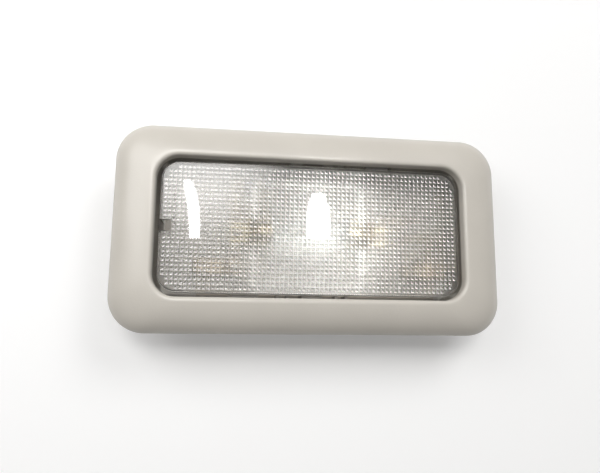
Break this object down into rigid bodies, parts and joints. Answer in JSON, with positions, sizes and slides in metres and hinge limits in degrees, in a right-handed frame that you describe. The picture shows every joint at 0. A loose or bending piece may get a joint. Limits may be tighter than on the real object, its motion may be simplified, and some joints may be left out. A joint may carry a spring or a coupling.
{
  "type": "car dome light",
  "caption": "Rectangular interior roof lamp with a crowned trim frame and a rocking prismatic lens that switches a festoon bulb.",
  "frame": {"origin": "middle of the flat back of the lamp body, under the centre of the window", "axes": "+X along the lamp towards the end with the socket and the roof clip, +Y across it, +Z out of the face, with the lamp lying on its back"},
  "size_m": [0.131, 0.069, 0.025],
  "materials": {
    "bezel_plastic": "fine matt moulded grain, warm beige grey",
    "body_plastic": "plain moulded light grey",
    "lens_clear": "clear polished moulding, square prisms inside",
    "reflector_bright": "satin bright coated moulding",
    "bulb_glass": "clear drawn glass",
    "cap_metal": "pressed brass, slightly dulled",
    "filament_metal": "dark drawn wire",
    "spring_brass": "stamped spring brass, dulled",
    "strip_brass": "stamped sheet brass, tinned and dulled",
    "leaf_bronze": "stamped bronze spring sheet",
    "stud_metal": "bright contact metal",
    "rivet_steel": "plated steel",
    "spring_steel": "plated spring steel strip"
  },
  "bodies": {
    "housing": {"bezel": "bezel_plastic", "lamp_body": "body_plastic", "reflector": "reflector_bright", "bulb_glass": "bulb_glass", "bulb_cap_left": "cap_metal", "bulb_cap_right": "cap_metal", "bulb_filament": "filament_metal", "bulb_holder_left": "spring_brass", "bulb_holder_right": "spring_brass", "live_strip": "strip_brass", "common_strip": "strip_brass", "ground_strip": "strip_brass", "door_strip": "strip_brass", "on_leaf": "leaf_bronze", "door_leaf": "leaf_bronze", "contact_studs": "stud_metal", "rivets": "rivet_steel", "detent_spring_top": "spring_steel", "detent_spring_bottom": "spring_steel", "roof_clip": "spring_steel", "clip_rivets": "rivet_steel"},
    "rocker": {"lens": "lens_clear"}
  },
  "joints": [
    {"name": "lens_rock", "type": "hinge", "parent": "housing", "child": "rocker", "pos_m": [0, 0, 0.0173], "axis": [0, 1, 0], "range_deg": [-3, 3]}
  ]
}
